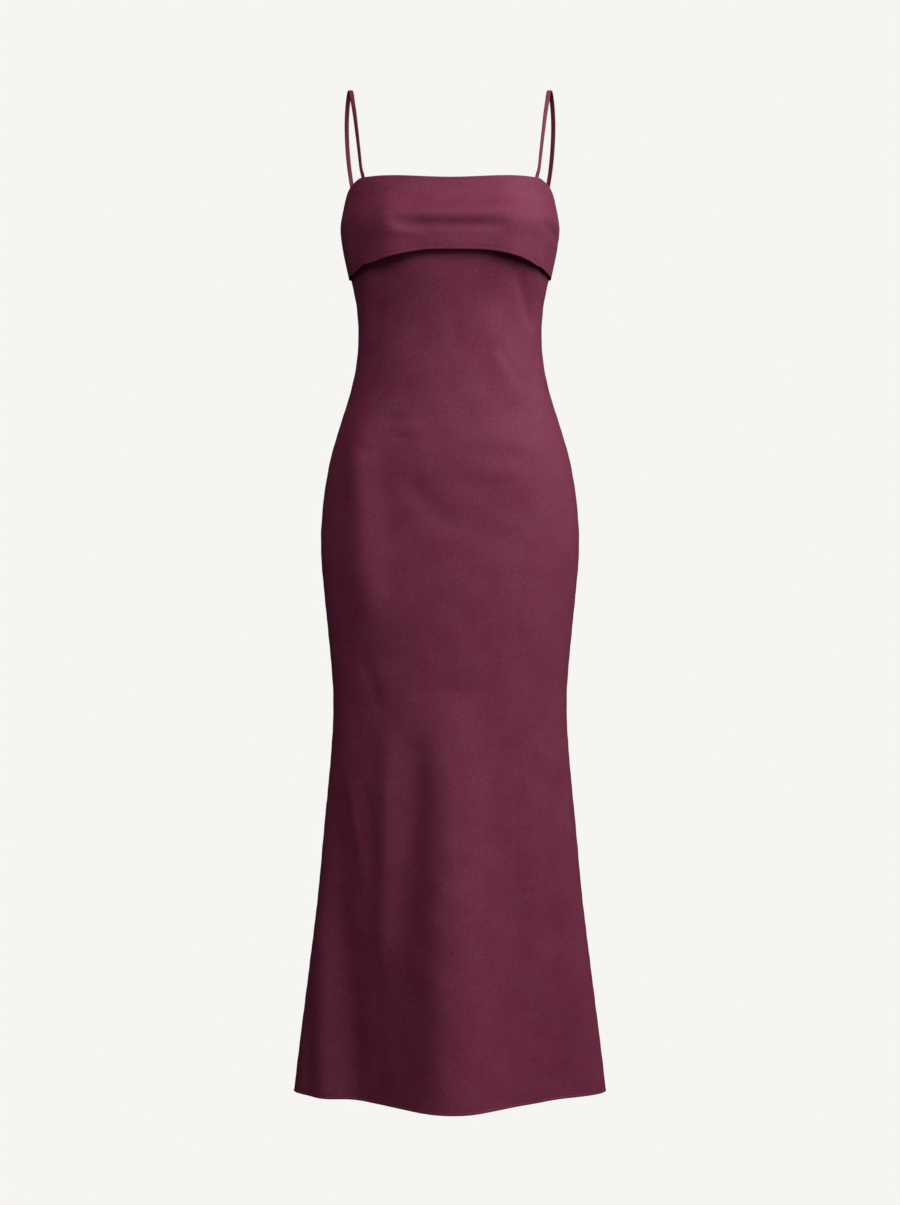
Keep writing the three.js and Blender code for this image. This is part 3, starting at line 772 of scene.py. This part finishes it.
def satin(name):
    """Satin-back crepe, a matt satin: a close slanting weave with a soft, broad sheen, a little
    uneven in colour where the threads thicken."""
    if name in bpy.data.materials:
        return bpy.data.materials[name]
    look = bpy.context.scene.dress_satin
    material = bpy.data.materials.new(name)
    material.use_nodes = True
    nodes = material.node_tree.nodes
    links = material.node_tree.links
    nodes.clear()
    cloth = add_node(nodes, links, "ShaderNodeUVMap", {"uv_map": "cloth"})
    bias = add_node(nodes, links, "ShaderNodeMapping", Vector=cloth.outputs["UV"],
                    Rotation=(0, 0, math.radians(-45)))
    # Crepe ribs are about 0.4 mm apart, too fine to show here, so they are drawn wider.
    rib_scale = 2 * math.pi / 20 / look.rib_spacing
    ribs = add_node(nodes, links, "ShaderNodeTexWave", {"wave_type": "BANDS"},
                    Vector=bias.outputs["Vector"], Scale=rib_scale, Distortion=1.2,
                    Detail=2.0, Detail_Scale=0.6)
    # Uneven threads show in runs some 1.4 mm wide and 5 mm long, wider than a thread, so that
    # the grain shows from across a room as it does in the photo.
    stretched = add_node(nodes, links, "ShaderNodeMapping", Vector=bias.outputs["Vector"],
                         Scale=(1 / (1.4 * MM), 1 / (5 * MM), 1))
    slub = add_node(nodes, links, "ShaderNodeTexNoise", Vector=stretched.outputs["Vector"],
                    Scale=1.0, Detail=4.0, Roughness=0.65)
    mottle = add_node(nodes, links, "ShaderNodeTexNoise", Vector=cloth.outputs["UV"],
                      Scale=1 / (38 * MM), Detail=4.0, Roughness=0.6)
    weave = add_node(nodes, links, "ShaderNodeMix", {"data_type": "FLOAT"}, Factor=0.72,
                     i2=ribs.outputs["Fac"], i3=slub.outputs["Fac"])
    shade = add_node(nodes, links, "ShaderNodeMapRange", Value=weave.outputs["Result"],
                     From_Min=0.3, From_Max=0.7, To_Min=0.0, To_Max=1.0)
    threads = add_node(nodes, links, "ShaderNodeMix", {"data_type": "RGBA"},
                       i0=shade.outputs["Result"], i6=colour(look.deep), i7=colour(look.shade))
    patch = add_node(nodes, links, "ShaderNodeMapRange", Value=mottle.outputs["Fac"],
                     From_Min=0.3, From_Max=0.7, To_Min=0.965, To_Max=1.035)
    blush = add_node(nodes, links, "ShaderNodeMapRange", Value=mottle.outputs["Fac"],
                     From_Min=0.3, From_Max=0.7, To_Min=1.03, To_Max=0.97)
    dyed = add_node(nodes, links, "ShaderNodeHueSaturation", Value=patch.outputs["Result"],
                    Saturation=blush.outputs["Result"], Color=threads.outputs["Result"])
    bump = add_node(nodes, links, "ShaderNodeBump", Strength=0.5, Distance=0.15 * MM,
                    Height=weave.outputs["Result"])
    rough = add_node(nodes, links, "ShaderNodeMapRange", Value=slub.outputs["Fac"],
                     From_Min=0.3, From_Max=0.7, To_Min=0.6, To_Max=0.7)
    shader = add_node(nodes, links, "ShaderNodeBsdfPrincipled",
                      Base_Color=dyed.outputs["Color"], Roughness=rough.outputs["Result"],
                      Normal=bump.outputs["Normal"])
    shader.inputs["Specular IOR Level"].default_value = 0.24
    shader.inputs["Sheen Weight"].default_value = 0.03
    shader.inputs["Sheen Roughness"].default_value = 0.5
    shader.inputs["Sheen Tint"].default_value = colour(look.sheen)
    add_node(nodes, links, "ShaderNodeOutputMaterial", Surface=shader.outputs["BSDF"])
    return material


def spun_thread(name):
    """Spun polyester thread, a touch lighter than the cloth, twisted and matt."""
    if name in bpy.data.materials:
        return bpy.data.materials[name]
    look = bpy.context.scene.dress_satin
    material = bpy.data.materials.new(name)
    material.use_nodes = True
    nodes = material.node_tree.nodes
    links = material.node_tree.links
    nodes.clear()
    place = add_node(nodes, links, "ShaderNodeTexCoord")
    twist = add_node(nodes, links, "ShaderNodeTexNoise", Vector=place.outputs["Object"],
                     Scale=1 / (0.4 * MM), Detail=1.0)
    spun = add_node(nodes, links, "ShaderNodeMix", {"data_type": "RGBA"},
                    i0=twist.outputs["Fac"], i6=colour(look.shade), i7=colour(look.thread))
    shader = add_node(nodes, links, "ShaderNodeBsdfPrincipled",
                      Base_Color=spun.outputs["Result"], Roughness=0.6)
    add_node(nodes, links, "ShaderNodeOutputMaterial", Surface=shader.outputs["BSDF"])
    return material


def pale_stage(name):
    """Painted studio backdrop: matt and even, and light enough to show as the pale ground."""
    backdrop = bpy.context.scene.dress_stage.backdrop
    material = bpy.data.materials.new(name)
    material.use_nodes = True
    nodes = material.node_tree.nodes
    links = material.node_tree.links
    nodes.clear()
    glow = add_node(nodes, links, "ShaderNodeEmission", Color=colour(backdrop), Strength=1.0)
    add_node(nodes, links, "ShaderNodeOutputMaterial", Surface=glow.outputs["Emission"])
    return material


def stitch_rows():
    """Runs of stitches as (side, angles, heights, out): along the hem of the front and of the
    back, and along the top of the back."""
    sewing = bpy.context.scene.dress_sewing
    hem_up = sewing.hem / MM
    turned = sewing.back_turn / MM
    rows = []
    fine = np.linspace(-SEAM_ANGLE + 0.02, SEAM_ANGLE - 0.02, 1500)
    for side in ("front", "back"):
        rows.append((side, fine, HEM_Z + hem_up + 0 * fine, -0.02))
    rows.append(("back", fine, back_edge(fine) - turned, -0.02))
    return rows


def make_stitches(name):
    """Rows of stitches: one stitch is modelled, then repeated and laid along each row."""
    sewing = bpy.context.scene.dress_sewing
    bpy.ops.object.select_all(action="DESELECT")
    bpy.ops.mesh.primitive_uv_sphere_add(segments=6, ring_count=5, radius=0.5)
    piece = bpy.context.object
    piece.name = piece.data.name = name
    one = np.empty(len(piece.data.vertices) * 3)
    piece.data.vertices.foreach_get("co", one)
    one = one.reshape(-1, 3)
    length = sewing.stitch / MM
    thick = sewing.thread / MM
    points = []
    for side, angle, z, out in stitch_rows():
        line = off_face(side, angle, z, out + panel_drift(side, angle, z))
        normal = face_normal(side, angle, z)
        way = np.concatenate([[0], np.cumsum(np.linalg.norm(np.diff(line, axis=0), axis=1))])
        for start in np.arange(1, way[-1] - length, length):
            at = [start + 0.12 * length, start + 0.88 * length]
            ends = np.stack([np.interp(at, way, line[:, k]) for k in range(3)], axis=1)
            facing = np.array([np.interp(start, way, normal[:, k]) for k in range(3)])
            run = ends[1] - ends[0]
            along = run / np.linalg.norm(run)
            side_way = np.cross(facing, along)
            points.append(ends.mean(axis=0) + np.outer(one[:, 2] * np.linalg.norm(run), along)
                          + np.outer(one[:, 0] * thick, side_way)
                          + np.outer(one[:, 1] * thick, facing))
    bpy.ops.object.modifier_add(type="ARRAY")
    repeat = piece.modifiers[-1]
    repeat.count = len(points)
    bpy.ops.object.modifier_apply(modifier=repeat.name)
    piece.data.vertices.foreach_set("co", (np.concatenate(points) * MM).ravel())
    bpy.ops.object.mode_set(mode="EDIT")
    bpy.ops.mesh.select_all(action="SELECT")
    bpy.ops.mesh.normals_make_consistent(inside=False)
    bpy.ops.object.mode_set(mode="OBJECT")
    bpy.ops.object.shade_smooth()
    piece.select_set(False)
    piece.data.materials.append(spun_thread("Spun polyester thread"))
    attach(piece, BODY)
    return piece


def make_seam_fin(hand, name):
    """The narrow closed seam inside each side, pressed towards the back. It covers the joint."""
    rows = 220
    fin = np.array(SEAM_FIN_STEPS)[::-hand]
    low = HEM_Z + 1.2
    high = UNDERARM_Z - 3
    z = np.linspace(low, high, rows + 1)[:, None] + 0 * fin
    angle = hand * (SEAM_ANGLE - fin / section_value("back", z))

    def place():
        wander = 0.35 * np.sin(z / 19) * fin / 7
        return off_face("back", angle, z, -SEAM_FIN_INSIDE - wander)

    piece = piece_from_grid(name, len(fin) - 1, rows, place)
    finish_sheet(piece, SEAM_FIN_WALL * MM)
    piece.data.materials.append(satin("Satin back crepe, cut on the bias"))
    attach(piece, BODY)
    return piece


class DRESS_OT_front(bpy.types.Operator):
    """Makes the front of the dress"""
    bl_idname = "dress.front"
    bl_label = "Front"

    def execute(self, context):
        make_panel("front", "front_cloth")
        return {"FINISHED"}


class DRESS_OT_back(bpy.types.Operator):
    """Makes the back of the dress"""
    bl_idname = "dress.back"
    bl_label = "Back"

    def execute(self, context):
        make_panel("back", "back_cloth")
        return {"FINISHED"}


class DRESS_OT_band(bpy.types.Operator):
    """Makes the doubled band that folds over the neckline"""
    bl_idname = "dress.band"
    bl_label = "Bust Band"

    def execute(self, context):
        band = make_band_sheet("band_cloth")
        return {"FINISHED"}


class DRESS_OT_straps(bpy.types.Operator):
    """Makes the two shoulder straps"""
    bl_idname = "dress.straps"
    bl_label = "Straps"

    def execute(self, context):
        make_strap(1, "strap_left_cloth", "strap_left")
        make_strap(-1, "strap_right_cloth", "strap_right")
        return {"FINISHED"}


class DRESS_OT_seams(bpy.types.Operator):
    """Makes the closed side seams inside the dress"""
    bl_idname = "dress.seams"
    bl_label = "Side Seams"

    def execute(self, context):
        left = make_seam_fin(1, "side_seam_left")
        right = make_seam_fin(-1, "side_seam_right")
        return {"FINISHED"}


class DRESS_OT_stitches(bpy.types.Operator):
    """Makes the rows of stitches along the hem and the top of the back"""
    bl_idname = "dress.stitches"
    bl_label = "Stitches"

    def execute(self, context):
        stitches = make_stitches("hem_stitches")
        return {"FINISHED"}


def soft_box(box):
    """A soft box facing the middle of the dress."""
    light = bpy.data.lights.new(box.name, "AREA")
    light.shape = "RECTANGLE"
    light.size = box.width
    light.size_y = box.height
    light.energy = box.power
    lamp = bpy.data.objects.new(box.name, light)
    target = Vector((0, 0, LIT_MIDDLE_Z))
    aside = math.radians(box.aside)
    rise = math.radians(box.rise)
    way = Vector((math.sin(aside) * math.cos(rise), -math.cos(aside) * math.cos(rise),
                  math.sin(rise)))
    lamp.location = target + way * box.far
    lamp.rotation_euler = (-way).to_track_quat("-Z", "Y").to_euler()
    bpy.context.collection.objects.link(lamp)
    return lamp


class DRESS_OT_stage(bpy.types.Operator):
    """Makes the pale floor and backdrop, the soft lights and the camera"""
    bl_idname = "dress.stage"
    bl_label = "Stage"

    def execute(self, context):
        stage = context.scene.dress_stage
        self.make_floor()
        for lamp in SOFT_BOXES:
            soft_box(lamp)
        world = bpy.data.worlds.new("Soft room")
        world.use_nodes = True
        ground = world.node_tree.nodes["Background"]
        ground.inputs["Color"].default_value = (1, 1, 1, 1)
        ground.inputs["Strength"].default_value = ROOM_GLOW
        context.scene.world = world
        context.scene.view_settings.view_transform = "Standard"
        lens = bpy.data.cameras.new("Camera")
        lens.sensor_width = 36
        lens.lens = lens.sensor_width * stage.distance / stage.frame_height
        lens.clip_end = 50
        camera = bpy.data.objects.new("Camera", lens)
        camera.location = (0, -stage.distance, stage.eye_height)
        camera.rotation_euler = (math.pi / 2, 0, 0)
        context.collection.objects.link(camera)
        context.scene.camera = camera
        return {"FINISHED"}

    def make_floor(self):
        """A floor that sweeps up into a round wall on every side, under and behind the dress."""
        bpy.ops.object.select_all(action="DESELECT")
        bpy.ops.mesh.primitive_circle_add(vertices=96, radius=FLOOR_RINGS[0][0],
                                          fill_type="NGON", location=(0, 0, FLOOR_Z))
        floor = bpy.context.object
        floor.name = floor.data.name = "studio_floor"
        bpy.ops.object.mode_set(mode="EDIT")
        bpy.ops.mesh.select_all(action="SELECT")
        bpy.ops.mesh.region_to_loop()
        for (radius, height), (last_radius, last_height) in zip(FLOOR_RINGS[1:], FLOOR_RINGS):
            bpy.ops.mesh.extrude_edges_indiv()
            grow = radius / last_radius
            bpy.ops.transform.resize(value=(grow, grow, 1))
            bpy.ops.transform.translate(value=(0, 0, height - last_height))
        bpy.ops.object.mode_set(mode="OBJECT")
        bpy.ops.object.transform_apply(location=True, rotation=False, scale=False)
        bpy.ops.object.shade_smooth()
        floor.select_set(False)
        floor.data.materials.append(pale_stage("Painted backdrop"))
        floor.visible_diffuse = False
        floor.visible_glossy = False
        floor.visible_shadow = False


class DRESS_PT_panel(bpy.types.Panel):
    """Lists the pieces of the dress and their sizes and colours"""
    bl_idname = "DRESS_PT_panel"
    bl_label = "Slip Dress"
    bl_space_type = "VIEW_3D"
    bl_region_type = "UI"
    bl_category = "Slip Dress"

    def draw(self, context):
        layout = self.layout
        for operator in PIECE_OPERATORS:
            layout.operator(operator.bl_idname)
        for group in (context.scene.dress_satin, context.scene.dress_sewing,
                      context.scene.dress_stage):
            box = layout.box()
            for name in group.__annotations__:
                box.prop(group, name)


PIECE_OPERATORS = (
    DRESS_OT_stage,
    DRESS_OT_front,
    DRESS_OT_back,
    DRESS_OT_band,
    DRESS_OT_straps,
    DRESS_OT_seams,
    DRESS_OT_stitches,
)
CLASSES = (SatinSettings, SewingSettings, StageSettings, *PIECE_OPERATORS, DRESS_PT_panel)


def register():
    for one in CLASSES:
        bpy.utils.register_class(one)
    bpy.types.Scene.dress_satin = PointerProperty(type=SatinSettings)
    bpy.types.Scene.dress_sewing = PointerProperty(type=SewingSettings)
    bpy.types.Scene.dress_stage = PointerProperty(type=StageSettings)


def unregister():
    del bpy.types.Scene.dress_satin
    del bpy.types.Scene.dress_sewing
    del bpy.types.Scene.dress_stage
    for one in reversed(CLASSES):
        bpy.utils.unregister_class(one)


def main():
    register()
    bpy.ops.dress.stage()
    bpy.ops.dress.front()
    bpy.ops.dress.back()
    bpy.ops.dress.band()
    bpy.ops.dress.straps()
    bpy.ops.dress.seams()
    bpy.ops.dress.stitches()


if __name__ == "__main__":
    main()
